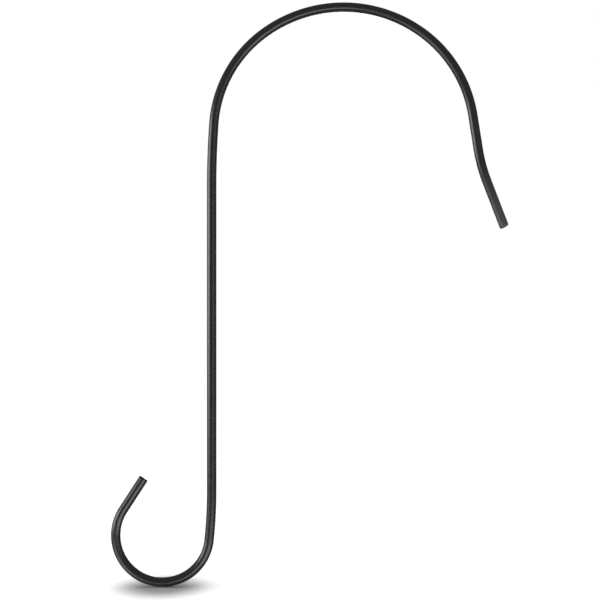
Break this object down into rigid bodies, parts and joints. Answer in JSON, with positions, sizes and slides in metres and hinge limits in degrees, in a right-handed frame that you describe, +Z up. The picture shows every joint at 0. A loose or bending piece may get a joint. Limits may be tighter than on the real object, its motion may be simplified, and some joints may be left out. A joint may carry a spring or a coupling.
{
  "type": "bird feeder hook",
  "caption": "Round steel rod bent into a hanging hook: a wide arch with a flared tail goes over a branch, and a small round hook on a straight stem carries a feeder.",
  "frame": {"origin": "under the top of the arch, on the surface that rests on the branch, in the middle of the rod", "axes": "+Z up, opposite to the pull of the hung feeder; +X from the stem towards the flared tail; Y through the flat of the hook, with the rod's axis in the plane y = 0"},
  "size_m": [0.2106, 0.005, 0.3096],
  "materials": {
    "black_powder_coat": "satin black powder coat with a fine, even texture over steel"
  },
  "bodies": {
    "root": {"bent_rod": "black_powder_coat"}
  },
  "joints": []
}
